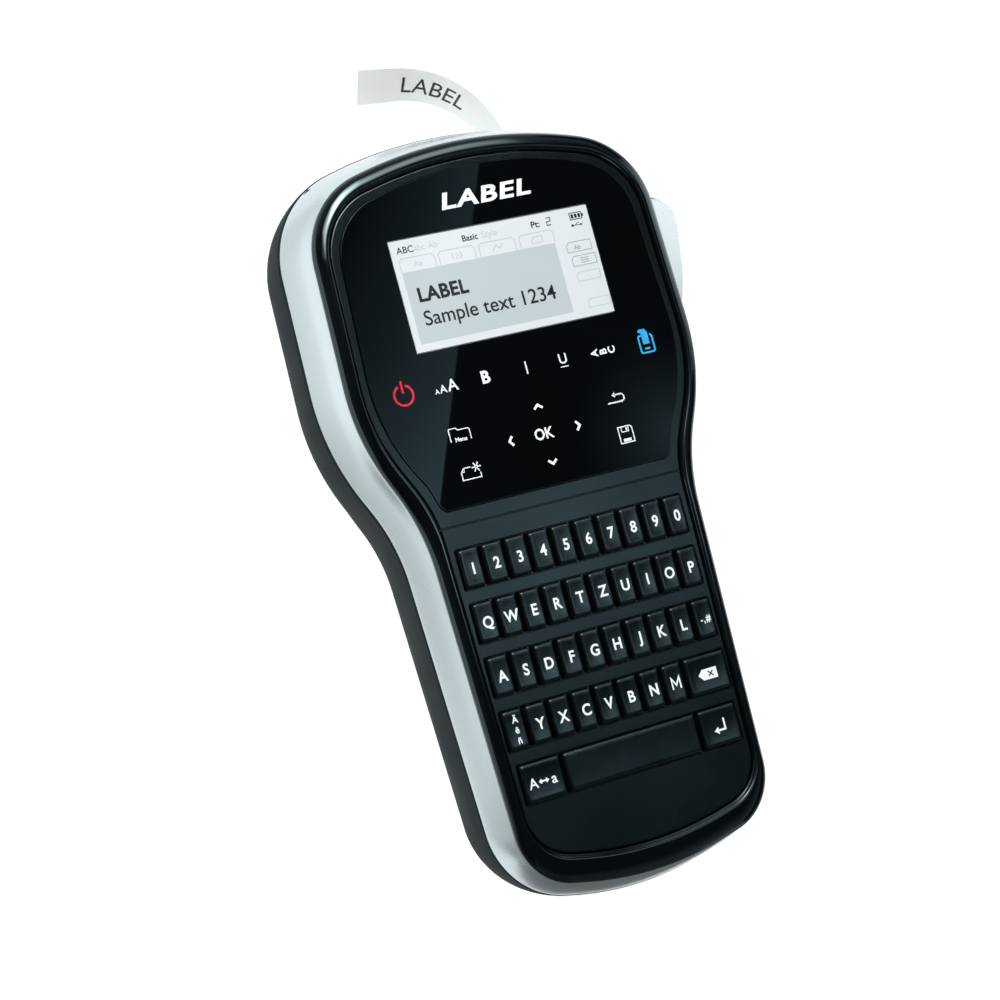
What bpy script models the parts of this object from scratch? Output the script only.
"""Hand-held electronic label maker lying on its back: shells, keys, display, cutter, cassette and drive.

The front face looks along +Z, the label leaves at the +Y end, and the flat back rests on Z = 0.
All driving dimensions are in millimetres; meshes are built in metres.
"""

import math

import bmesh
import bpy
from mathutils import Vector

MM = 0.001
GAP = 0.3  # clearance kept between neighbouring pieces

# Levels above the flat back
FACE_Z = 50.0  # top of the display panel
FRAME_Z = 49.6  # top of the matte frame around the display and the keys
BEZEL_SEAM_Z = 47.7  # bezel meets the silver band
BELT_Z = 36.0  # silver band meets the rear cover
BOARD_Z = 41.0  # underside of the circuit board

# Outlines: right half from the top to the bottom, corners as (x, y, radius, arc steps)
BEZEL_OUTER = [
    (0.0, 104.1, 124.6, 6), (50.1, 90.4, 23.0, 8), (51.8, 27.5, 59.5, 5),
    (40.1, 1.0, 56.9, 4), (37.6, -93.8, 16.1, 7), (0.0, -102.3, 95.6, 8),
]
BEZEL_INNER = [
    (0.0, 98.2, 121.5, 6), (46.2, 86.9, 19.2, 8), (48.3, 27.8, 49.2, 5),
    (36.6, 4.0, 35.3, 4), (34.7, -86.6, 13.3, 7), (0.0, -95.2, 100.1, 8),
]
BELT = [
    (0.0, 108.7, 129.0, 6), (55.2, 93.6, 27.0, 8), (57.0, 26.5, 65.0, 5),
    (43.7, -0.2, 52.0, 4), (40.2, -96.5, 23.0, 7), (0.0, -106.1, 90.0, 8),
]
BACK_FLAT = [
    (0.0, 86.5, 90.0, 6), (34.2, 77.0, 10.0, 8), (36.0, 26.0, 45.0, 5),
    (23.8, -5.5, 40.0, 4), (21.3, -80.5, 9.0, 7), (0.0, -86.0, 45.0, 8),
]
DISPLAY = [
    (0.0, 96.5, 103.4, 6), (43.2, 83.9, 17.0, 6), (46.2, 27.6, 49.6, 4),
    (36.6, 11.7, 20.0, 3), (34.2, 4.15, 2.6, 4),
]
BOARD = [
    (0.0, 92.0, 110.0, 4), (41.5, 81.0, 15.0, 4), (43.3, 25.0, 50.0, 3),
    (31.5, 0.0, 30.0, 3), (30.0, -85.0, 10.0, 4), (0.0, -93.0, 80.0, 4),
]
BAND_WALL = 2.0
REAR_WALL = 2.4

# Keys
KEY_WIDTH, KEY_HEIGHT = 5.76, 10.17
KEY_PITCH, ROW_PITCH = 6.86, 14.35
KEYS_LEFT, KEYS_TOP = -33.75, -6.27
KEY_TOP_Z, KEY_CAP_Z, KEY_STEM_Z = 50.8, 46.2, 44.4
KEY_WELL_Z, FRAME_BOTTOM_Z = 48.4, 47.4
ROW_NAMES = [
    ["1", "2", "3", "4", "5", "6", "7", "8", "9", "0"],
    ["q", "w", "e", "r", "t", "z", "u", "i", "o", "p"],
    ["a", "s", "d", "f", "g", "h", "j", "k", "l", "symbols"],
    ["accents", "y", "x", "c", "v", "b", "n", "m", "backspace"],
    ["shift", "space", "enter"],
]
ROW_SPANS = {"backspace": 2, "shift": 2, "space": 6, "enter": 2}  # columns covered
LAST_ROW_INDENT = 0.95  # how far the outer ends of the last row stand in

# Display
SCREEN_SIZE = (60.0, 30.5)
SCREEN_CENTRE_Y = 60.85

# Cassette door on the back
DOOR_X, DOOR_Y0, DOOR_Y1 = 31.5, 31.5, 74.5
DOOR_THICK, HINGE_R, PIN_R, PIN_HOLE_R = 2.4, 1.6, 0.8, 0.9
HINGE_Y = DOOR_Y0 + HINGE_R

# Battery cover on the back and the bottom end
BATTERY_X, BATTERY_Y1, BATTERY_Z1 = 19.5, -14.0, 20.0

# Cutter lever on the right side
LEVER_PIVOT = (48.0, 47.0)
LEVER_Z0, LEVER_Z1 = 33.8, 44.9
LEVER_FALL = 0.25  # slope of the lever's top towards its outer edge, from x = 49.5 on

# Tape path, cassette, print head and platen
TAPE_X, TAPE_Z, TAPE_WIDTH, TAPE_THICK = 28.5, 12.8, 12.0, 0.3
CASSETTE = ((-26.0, 34.0, 3.3), (28.0, 72.0, 22.3))
BLADE_Y = (76.5, 79.5)
LABEL_START_Y, LABEL_BEND_Y = 80.2, 98.2
LABEL_RADIUS, LABEL_SWEEP, LABEL_TAIL = 29.0, 82.5, 10.5
LABEL_TILT, LABEL_TWIST = 12.5, 38.0
PLATEN_AT = (34.3, 58.0)
PINION_AT = (37.0, 48.37)
PLATEN_TEETH, PINION_TEETH, TOOTH_MODULE = 18, 12, 2.0 / 3.0
GEAR_Z0, GEAR_Z1 = 22.9, 25.9


# ---------------------------------------------------------------- helpers

def clear_scene():
    for thing in list(bpy.data.objects):
        bpy.data.objects.remove(thing, do_unlink=True)


def paint(thing, colour, roughness, metallic=0.0):
    material = bpy.data.materials.new(thing.name)
    material.use_nodes = True
    shader = material.node_tree.nodes["Principled BSDF"]
    shader.inputs["Base Color"].default_value = (*colour, 1.0)
    shader.inputs["Roughness"].default_value = roughness
    shader.inputs["Metallic"].default_value = metallic
    thing.data.materials.append(material)


def add_mesh(name, points, faces, origin=(0.0, 0.0, 0.0), smooth=False):
    """A mesh object from points in millimetres, with its own origin at the given point."""
    shift = Vector(origin)
    mesh = bpy.data.meshes.new(name)
    mesh.from_pydata([(Vector(p) - shift) * MM for p in points], [], faces)
    solid = bmesh.new()
    solid.from_mesh(mesh)
    bmesh.ops.recalc_face_normals(solid, faces=solid.faces)
    solid.to_mesh(mesh)
    solid.free()
    for face in mesh.polygons:
        face.use_smooth = smooth
    thing = bpy.data.objects.new(name, mesh)
    thing.location = shift * MM
    bpy.context.collection.objects.link(thing)
    return thing


def stack(loops, ring=False):
    """Points and faces joining loops of equal length; a ring joins the last to the first."""
    size = len(loops[0])
    points = [p for loop in loops for p in loop]
    pairs = [(i, i + 1) for i in range(len(loops) - 1)]
    if ring:
        pairs.append((len(loops) - 1, 0))
    faces = []
    for low, high in pairs:
        for i in range(size):
            j = (i + 1) % size
            faces.append((low * size + i, low * size + j, high * size + j, high * size + i))
    if not ring:
        faces.append(tuple(range(size)))
        faces.append(tuple((len(loops) - 1) * size + i for i in range(size)))
    return points, faces


def merged(*solids):
    """Several closed shapes as one list of points and faces."""
    points = []
    faces = []
    for some_points, some_faces in solids:
        start = len(points)
        points += some_points
        faces += [tuple(start + i for i in face) for face in some_faces]
    return points, faces


def box(low, high):
    corners = [
        [(low[0], low[1], z), (high[0], low[1], z), (high[0], high[1], z), (low[0], high[1], z)]
        for z in (low[2], high[2])
    ]
    return stack(corners)


def circle(radius, steps, centre=(0.0, 0.0)):
    turn = 2 * math.pi / steps
    return [
        (centre[0] + radius * math.cos(turn * i), centre[1] + radius * math.sin(turn * i))
        for i in range(steps)
    ]


def at_height(outline, z):
    return [(x, y, z) for x, y in outline]


def prism(outline, low, high):
    return stack([at_height(outline, low), at_height(outline, high)])


def rod_along_x(radius, steps, x0, x1, y, z):
    ring = circle(radius, steps)
    return stack([[(x, y + a, z + b) for a, b in ring] for x in (x0, x1)])


def mirrored(corners):
    left = [(-x, y, radius, steps) for x, y, radius, steps in reversed(corners) if x > 0]
    return corners + left


def rounded(corners):
    """Points around a polygon whose corners (x, y, radius, steps) are replaced by arcs."""
    outline = []
    for i, (x, y, radius, steps) in enumerate(corners):
        corner = Vector((x, y))
        back = (Vector(corners[i - 1][:2]) - corner).normalized()
        ahead = (Vector(corners[(i + 1) % len(corners)][:2]) - corner).normalized()
        half = back.angle(ahead) / 2
        centre = corner + (back + ahead).normalized() * (radius / math.sin(half))
        start = corner + back * (radius / math.tan(half)) - centre
        turn = math.copysign(math.pi - 2 * half, ahead.x * back.y - ahead.y * back.x)
        for k in range(steps + 1):
            angle = turn * k / steps
            spoke = Vector((
                start.x * math.cos(angle) - start.y * math.sin(angle),
                start.x * math.sin(angle) + start.y * math.cos(angle),
            ))
            outline.append(tuple(centre + spoke))
    return outline


def outline_of(corners):
    return rounded(mirrored(corners))


def inset(outline, distance):
    """The outline moved inwards along its corner bisectors; it runs clockwise."""
    moved = []
    for i, (x, y) in enumerate(outline):
        before = Vector(outline[i - 1])
        here = Vector((x, y))
        after = Vector(outline[(i + 1) % len(outline)])
        first = (here - before).normalized()
        second = (after - here).normalized()
        inward = Vector((first.y + second.y, -first.x - second.x)).normalized()
        cosine = inward.dot(Vector((first.y, -first.x)))
        moved.append(tuple(here + inward * (distance / cosine)))
    return moved


def blend(first, second, share):
    """Points part of the way from one outline to another with as many points."""
    return [
        (a + (c - a) * share, b + (d - b) * share)
        for (a, b), (c, d) in zip(first, second)
    ]


def rounded_box(x0, x1, y0, y1, radius, steps=3):
    corners = [(x0, y1, radius, steps), (x1, y1, radius, steps),
               (x1, y0, radius, steps), (x0, y0, radius, steps)]
    return rounded(corners)


def gear_outline(teeth, phase):
    """A toothed wheel; tooth flanks are straight and leave some backlash."""
    pitch_r = TOOTH_MODULE * teeth / 2
    step = 2 * math.pi / teeth
    outline = []
    for i in range(teeth):
        for radius, share in ((-0.85, -0.33), (0.55, -0.12), (0.55, 0.12), (-0.85, 0.33)):
            angle = phase + step * (i + share)
            reach = pitch_r + radius
            outline.append((reach * math.cos(angle), reach * math.sin(angle)))
    return outline


def shifted(outline, centre):
    return [(x + centre[0], y + centre[1]) for x, y in outline]


def boolean(thing, name, solid, operation="DIFFERENCE"):
    """Cuts a closed shape from the object, or joins it on, through a hidden cutter."""
    cutter = add_mesh(name, *solid)
    cutter.hide_render = True
    cutter.display_type = "WIRE"
    step = thing.modifiers.new(name, "BOOLEAN")
    step.operation = operation
    step.solver = "EXACT"
    step.object = cutter


# ---------------------------------------------------------------- housing

def front_bezel():
    """Glossy black ring with a rounded crest and a skirt inside the silver band."""
    outer = outline_of(BEZEL_OUTER)
    inner = outline_of(BEZEL_INNER)
    section = [
        (0.0, BEZEL_SEAM_Z), (0.0, 48.9), (0.12, 50.1), (0.35, 50.7), (0.7, 50.7), (0.93, 50.2),
        (1.0, 49.4), (1.0, 45.5), (0.75, 45.5), (0.75, BEZEL_SEAM_Z),
    ]
    loops = [at_height(blend(outer, inner, share), z) for share, z in section]
    ring = add_mesh("front_bezel", *stack(loops, ring=True), smooth=True)
    paint(ring, (0.008, 0.008, 0.009), 0.08)


def side_shell():
    """Silver band that flares outwards from the bezel to the rear cover."""
    top = outline_of(BEZEL_OUTER)
    bottom = outline_of(BELT)
    outer = [(0.0, BEZEL_SEAM_Z - GAP), (0.38, 44.2), (0.7, 40.8), (0.92, 37.9), (1.0, BELT_Z + GAP)]
    loops = [at_height(blend(top, bottom, share), z) for share, z in outer]
    loops += [
        at_height(inset(blend(top, bottom, share), BAND_WALL), z) for share, z in reversed(outer)
    ]
    band = add_mesh("side_shell", *stack(loops, ring=True), smooth=True)
    boolean(band, "lever_window_band", lever_window())
    paint(band, (0.55, 0.57, 0.58), 0.3, 0.9)


def rear_shell():
    """Bowl from the belt seam to the flat back, with an even wall."""
    belt = outline_of(BELT)
    back = outline_of(BACK_FLAT)
    belt_in = inset(belt, REAR_WALL)
    back_in = inset(back, REAR_WALL)
    angles = [math.radians(a) for a in (0, 12, 25, 38, 52, 66, 79, 90)]
    outer = []
    inner = []
    for angle in angles:
        share = 1 - math.cos(angle)
        fall = math.sin(angle)
        outer.append(at_height(blend(belt, back, share), BELT_Z * (1 - fall)))
        depth = BELT_Z - REAR_WALL
        inner.append(at_height(blend(belt_in, back_in, share), BELT_Z - depth * fall))
    return stack(list(reversed(outer)) + inner)


def lever_window():
    return box((44.0, 43.5, LEVER_Z0 - 0.4), (75.0, 76.0, LEVER_Z1 + 0.4))


def battery_opening(gap):
    return box((-BATTERY_X - gap, -130.0, -5.0), (BATTERY_X + gap, BATTERY_Y1 + gap, BATTERY_Z1 + gap))


def door_outline(start_y, gap):
    """The door's outline, square at its hinge edge and rounded at its free edge."""
    x, y0, y1 = DOOR_X + gap, start_y - gap, DOOR_Y1 + gap
    return rounded([(-x, y1, 5.0, 4), (x, y1, 5.0, 4), (x, y0, 0.2, 1), (-x, y0, 0.2, 1)])


def rear_cover():
    """Dark rear half with the door and battery openings, hinge bosses and board posts."""
    cover = add_mesh("rear_cover", *rear_shell(), smooth=True)
    posts = [(23.5, -60.0), (24.5, -20.0), (37.5, 25.0), (36.5, 69.0)]
    post_solids = [
        prism(circle(2.0, 10, (side * x, y)), 1.4, BOARD_Z - GAP)
        for x, y in posts for side in (-1, 1)
    ]
    bosses = [
        box((side * 33.7 - 1.9, HINGE_Y - 2.6, 1.0), (side * 33.7 + 1.9, HINGE_Y + 2.6, 4.2))
        for side in (-1, 1)
    ]
    boolean(cover, "posts", merged(*post_solids), "UNION")
    boolean(cover, "hinge_bosses", merged(*bosses), "UNION")
    boolean(cover, "door_opening", prism(door_outline(DOOR_Y0, GAP), -5.0, 6.0))
    pin_holes = [
        rod_along_x(PIN_HOLE_R, 16, side * 32.5 - 1.5, side * 32.5 + 1.5, HINGE_Y, HINGE_R)
        for side in (-1, 1)
    ]
    boolean(cover, "hinge_pin_holes", merged(*pin_holes))
    boolean(cover, "battery_opening", battery_opening(GAP))
    boolean(cover, "lever_window_cover", lever_window())
    label_slot = box((TAPE_X - 0.9, 84.0, TAPE_Z - 6.8), (TAPE_X + 0.9, 115.0, TAPE_Z + 6.8))
    boolean(cover, "label_slot", label_slot)
    paint(cover, (0.075, 0.09, 0.088), 0.55)


def battery_cover():
    """Sliding cover that takes in the back of the handle and its curved end."""
    cover = add_mesh("battery_cover", *rear_shell(), smooth=True)
    boolean(cover, "battery_cover_outline", battery_opening(0.0), "INTERSECT")
    paint(cover, (0.07, 0.085, 0.083), 0.55)


def cassette_door():
    """Rear door with a rounded hinge edge and a pin at each end of it."""
    origin = (0.0, HINGE_Y, HINGE_R)
    panel = prism(door_outline(HINGE_Y, 0.0), 0.0, DOOR_THICK)
    door = add_mesh("cassette_door", *panel, origin=origin)
    barrel = rod_along_x(HINGE_R, 16, -DOOR_X, DOOR_X, HINGE_Y, HINGE_R)
    pin = rod_along_x(PIN_R, 16, -DOOR_X - 2.0, DOOR_X + 2.0, HINGE_Y, HINGE_R)
    boolean(door, "door_barrel", barrel, "UNION")
    boolean(door, "door_pin", pin, "UNION")
    paint(door, (0.07, 0.085, 0.083), 0.55)


# ---------------------------------------------------------------- face

def key_rows():
    """Each key as (row, name, x0, x1, y0, y1)."""
    keys = []
    for row, names in enumerate(ROW_NAMES):
        top = KEYS_TOP - row * ROW_PITCH
        column = 0
        for name in names:
            span = ROW_SPANS.get(name, 1)
            x0 = KEYS_LEFT + column * KEY_PITCH
            x1 = x0 + (span - 1) * KEY_PITCH + KEY_WIDTH
            if name == "shift":
                x0 += LAST_ROW_INDENT
            if name == "enter":
                x1 -= LAST_ROW_INDENT
            keys.append((row, name, x0, x1, top - KEY_HEIGHT, top))
            column += span
    return keys


def keypad_frame():
    """Matte frame around the display, with one shallow well per key row and a hole per key."""
    outline = inset(outline_of(BEZEL_INNER), GAP)
    frame = add_mesh("keypad_frame", *prism(outline, FRAME_BOTTOM_Z, FRAME_Z))
    window = inset(outline_of(DISPLAY), -GAP)
    boolean(frame, "display_window", prism(window, 40.0, 60.0))
    wells = []
    for row, names in enumerate(ROW_NAMES):
        keys = [key for key in key_rows() if key[0] == row]
        well = (keys[0][2] - 0.35, keys[-1][3] + 0.35, keys[0][4] - 0.35, keys[0][5] + 0.35)
        wells.append(prism(rounded_box(*well, 0.6, 2), KEY_WELL_Z, 60.0))
    boolean(frame, "key_wells", merged(*wells))
    holes = [
        box((x0 - 0.25, y0 - 0.25, 40.0), (x1 + 0.25, y1 + 0.25, 60.0))
        for _, _, x0, x1, y0, y1 in key_rows()
    ]
    boolean(frame, "key_holes", merged(*holes))
    paint(frame, (0.018, 0.023, 0.026), 0.5)


def display_panel():
    """Glossy panel over the display and its flush function keys."""
    panel = add_mesh("display_panel", *prism(outline_of(DISPLAY), 48.4, FACE_Z))
    half = (SCREEN_SIZE[0] / 2, SCREEN_SIZE[1] / 2)
    window = box((-half[0], SCREEN_CENTRE_Y - half[1], 40.0), (half[0], SCREEN_CENTRE_Y + half[1], 60.0))
    boolean(panel, "screen_window", window)
    paint(panel, (0.005, 0.005, 0.006), 0.05)


def lcd_module():
    """Liquid-crystal module whose screen stands in the panel's window."""
    half = (SCREEN_SIZE[0] / 2 - GAP, SCREEN_SIZE[1] / 2 - GAP)
    base = rounded_box(-34.0, 34.0, SCREEN_CENTRE_Y - 20.0, SCREEN_CENTRE_Y + 20.0, 1.5)
    module = add_mesh("lcd_module", *prism(base, 43.4, 48.0))
    screen = box(
        (-half[0], SCREEN_CENTRE_Y - half[1], 46.0), (half[0], SCREEN_CENTRE_Y + half[1], FACE_Z - 0.2)
    )
    boolean(module, "screen_block", screen, "UNION")
    paint(module, (0.62, 0.67, 0.67), 0.2)


def keys():
    """Rubber keys with a softened top and a stem that reaches towards the board."""
    for _, name, x0, x1, y0, y1 in key_rows():
        centre = ((x0 + x1) / 2, (y0 + y1) / 2, KEY_TOP_Z)
        section = [(1.2, KEY_STEM_Z), (1.2, KEY_CAP_Z), (0.0, KEY_CAP_Z), (0.0, 50.1), (0.5, KEY_TOP_Z)]
        loops = [
            at_height(rounded_box(x0 + d, x1 - d, y0 + d, y1 - d, 0.5, 1), z) for d, z in section
        ]
        key = add_mesh("key_" + name, *stack(loops), origin=centre)
        paint(key, (0.02, 0.025, 0.028), 0.45)


def main_board():
    """Circuit board behind the keys and the display, with its larger chips underneath."""
    board = add_mesh("main_board", *prism(outline_of(BOARD), BOARD_Z, BOARD_Z + 1.6))
    chips = [
        box((-7.0, -37.0, BOARD_Z - 1.4), (7.0, -23.0, BOARD_Z + 0.5)),
        box((-20.0, 4.0, BOARD_Z - 1.4), (-8.0, 14.0, BOARD_Z + 0.5)),
        box((-6.0, -90.0, BOARD_Z - 3.0), (6.0, -82.0, BOARD_Z + 0.5)),
    ]
    boolean(board, "chips", merged(*chips), "UNION")
    paint(board, (0.01, 0.09, 0.035), 0.5)


# ---------------------------------------------------------------- cutter

def cutter_button():
    """Side lever that pivots at its lower end and pushes the blade with an inner arm."""
    paddle = [
        (46.6, 45.2), (49.0, 44.4), (54.2, 44.6), (57.7, 52.6), (59.8, 62.5), (60.8, 68.0),
        (60.8, 70.2), (59.8, 71.6), (54.6, 75.2), (51.5, 75.4), (49.4, 73.0), (48.8, 60.0),
    ]
    origin = (*LEVER_PIVOT, (LEVER_Z0 + LEVER_Z1) / 2)
    top = [(x, y, LEVER_Z1 - LEVER_FALL * max(0.0, x - 49.5)) for x, y in paddle]
    lever = add_mesh("cutter_button", *stack([at_height(paddle, LEVER_Z0), top]), origin=origin)
    barrel = prism(circle(2.0, 20, LEVER_PIVOT), 32.5, 45.2)
    arm = box((46.5, 58.0, 25.0), (49.8, BLADE_Y[1], 35.0))
    boolean(lever, "lever_barrel", barrel, "UNION")
    boolean(lever, "lever_arm", arm, "UNION")
    paint(lever, (0.6, 0.62, 0.63), 0.3, 0.9)


def cutter_blade():
    """Sliding blade plate with a wedge edge and a bar that meets the lever's arm."""
    y0, y1 = BLADE_Y
    profile = [(30.6, (y0 + y1) / 2), (32.4, y1), (36.0, y1), (36.0, y0), (32.4, y0)]
    blade = add_mesh("cutter_blade", *prism(profile, 5.5, 33.0))
    bar = box((35.0, y0 + 0.2, 26.0), (46.2, y1 - 0.2, 32.8))
    boolean(blade, "blade_bar", bar, "UNION")
    paint(blade, (0.6, 0.6, 0.6), 0.25, 1.0)


# ---------------------------------------------------------------- tape and drive

def label_station(run):
    """Centre, direction and outward side of the label this far beyond the start of its bend."""
    tilt = math.radians(LABEL_TILT)
    ahead = Vector((0.0, 1.0, 0.0))
    sideways = Vector((-math.cos(tilt), 0.0, -math.sin(tilt)))
    bend = LABEL_RADIUS * math.radians(LABEL_SWEEP)
    within = max(0.0, min(run, bend))
    angle = within / LABEL_RADIUS
    along = ahead * math.cos(angle) + sideways * math.sin(angle)
    outward = ahead * math.sin(angle) - sideways * math.cos(angle)
    start = Vector((TAPE_X, LABEL_BEND_Y, TAPE_Z))
    centre = start + sideways * LABEL_RADIUS + outward * LABEL_RADIUS + along * (run - within)
    return centre, along, outward


def printed_label():
    """Cut label standing in the exit slot: straight, then curling to the left with a twist."""
    steps = 18
    start = LABEL_START_Y - LABEL_BEND_Y
    length = LABEL_RADIUS * math.radians(LABEL_SWEEP) + LABEL_TAIL
    loops = []
    for i in range(-1, steps + 1):
        share = max(0.0, i / steps)
        centre, along, outward = label_station(start if i < 0 else length * share)
        ease = share * share * (3 - 2 * share)
        twist = math.radians(LABEL_TILT + (LABEL_TWIST - LABEL_TILT) * ease)
        across = outward.cross(along) * math.cos(twist) + outward * math.sin(twist)
        side = across * (TAPE_WIDTH / 2)
        face = along.cross(across) * (TAPE_THICK / 2)
        loops.append([tuple(centre + p) for p in (side + face, face - side, -side - face, side - face)])
    label = add_mesh("printed_label", *stack(loops))
    paint(label, (0.8, 0.84, 0.83), 0.4)


def tape_cassette():
    """Tape cassette with a notch for the print head and the tape running past it."""
    low, high = CASSETTE
    body = rounded_box(low[0], high[0], low[1], high[1], 2.0)
    cassette = add_mesh("tape_cassette", *prism(body, low[2], high[2]))
    boolean(cassette, "head_notch", box((22.0, 49.0, 0.0), (31.0, 67.0, 30.0)))
    hubs = [prism(circle(r, 20, (x, 53.0)), -1.0, 6.3) for x, r in ((-14.0, 6.0), (6.0, 4.0))]
    boolean(cassette, "hub_recesses", merged(*hubs))
    half = TAPE_WIDTH / 2
    tape = box(
        (TAPE_X - TAPE_THICK / 2, 44.0, TAPE_Z - half), (TAPE_X + TAPE_THICK / 2, 76.0, TAPE_Z + half)
    )
    guide = box((27.0, 43.0, TAPE_Z - half - 0.5), (TAPE_X + 0.5, 47.5, TAPE_Z + half + 0.5))
    boolean(cassette, "tape_guide", guide, "UNION")
    boolean(cassette, "tape", tape, "UNION")
    paint(cassette, (0.05, 0.055, 0.06), 0.4)


def print_head():
    head = add_mesh("print_head", *box((24.6, 52.0, 4.5), (28.05, 64.0, 20.5)))
    boolean(head, "heater_edge", box((23.6, 50.5, 5.5), (25.4, 65.5, 19.5)), "UNION")
    paint(head, (0.5, 0.5, 0.5), 0.35, 1.0)


def platen_roller():
    """Rubber-covered roller on a shaft, with its gear above the cassette."""
    phase = math.atan2(PINION_AT[1] - PLATEN_AT[1], PINION_AT[0] - PLATEN_AT[0])
    gear = gear_outline(PLATEN_TEETH, phase)
    steps = len(gear)
    shaft = circle(1.5, steps)
    roller = circle(5.2, steps)
    section = [
        (shaft, 3.4), (shaft, 5.5), (roller, 5.5), (roller, 20.5), (shaft, 20.5), (shaft, GEAR_Z0),
        (gear, GEAR_Z0), (gear, GEAR_Z1),
    ]
    loops = [at_height(shifted(outline, PLATEN_AT), z) for outline, z in section]
    platen = add_mesh("platen_roller", *stack(loops), origin=(*PLATEN_AT, 13.0))
    paint(platen, (0.03, 0.03, 0.03), 0.7)


def drive_gear():
    """Pinion on the motor shaft, in mesh with the platen's gear."""
    towards = math.atan2(PLATEN_AT[1] - PINION_AT[1], PLATEN_AT[0] - PINION_AT[0])
    phase = towards + math.pi / PINION_TEETH
    wheel = shifted(gear_outline(PINION_TEETH, phase), PINION_AT)
    gear = add_mesh("drive_gear", *prism(wheel, GEAR_Z0, GEAR_Z1), origin=(*PINION_AT, GEAR_Z0))
    bore = prism(circle(1.0, 12, PINION_AT), 20.0, 30.0)
    boolean(gear, "pinion_bore", bore)
    paint(gear, (0.75, 0.74, 0.7), 0.45)


def drive_motor():
    """Motor can with a shaft end that carries the pinion."""
    steps = 28
    can = circle(8.0, steps, PINION_AT)
    rim = circle(7.2, steps, PINION_AT)
    nose = circle(3.0, steps, PINION_AT)
    shaft = circle(0.9, steps, PINION_AT)
    section = [(shaft, 23.2), (shaft, 26.3), (nose, 26.3), (nose, 27.2), (rim, 27.2), (can, 28.0),
               (can, 39.2), (rim, 39.8)]
    loops = [at_height(outline, z) for outline, z in section]
    motor = add_mesh("drive_motor", *stack(loops), smooth=True)
    paint(motor, (0.6, 0.6, 0.58), 0.3, 1.0)


def battery_pack():
    outline = rounded_box(-18.5, 18.5, -72.0, -17.0, 3.0)
    small = rounded_box(-17.5, 17.5, -71.0, -18.0, 2.0)
    loops = [at_height(small, 3.4), at_height(outline, 4.4), at_height(outline, 16.4), at_height(small, 17.4)]
    pack = add_mesh("battery_pack", *stack(loops))
    paint(pack, (0.04, 0.06, 0.12), 0.5)


def main():
    clear_scene()
    front_bezel()
    side_shell()
    rear_cover()
    battery_cover()
    cassette_door()
    keypad_frame()
    display_panel()
    lcd_module()
    keys()
    main_board()
    cutter_button()
    cutter_blade()
    printed_label()
    tape_cassette()
    print_head()
    platen_roller()
    drive_gear()
    drive_motor()
    battery_pack()


main()
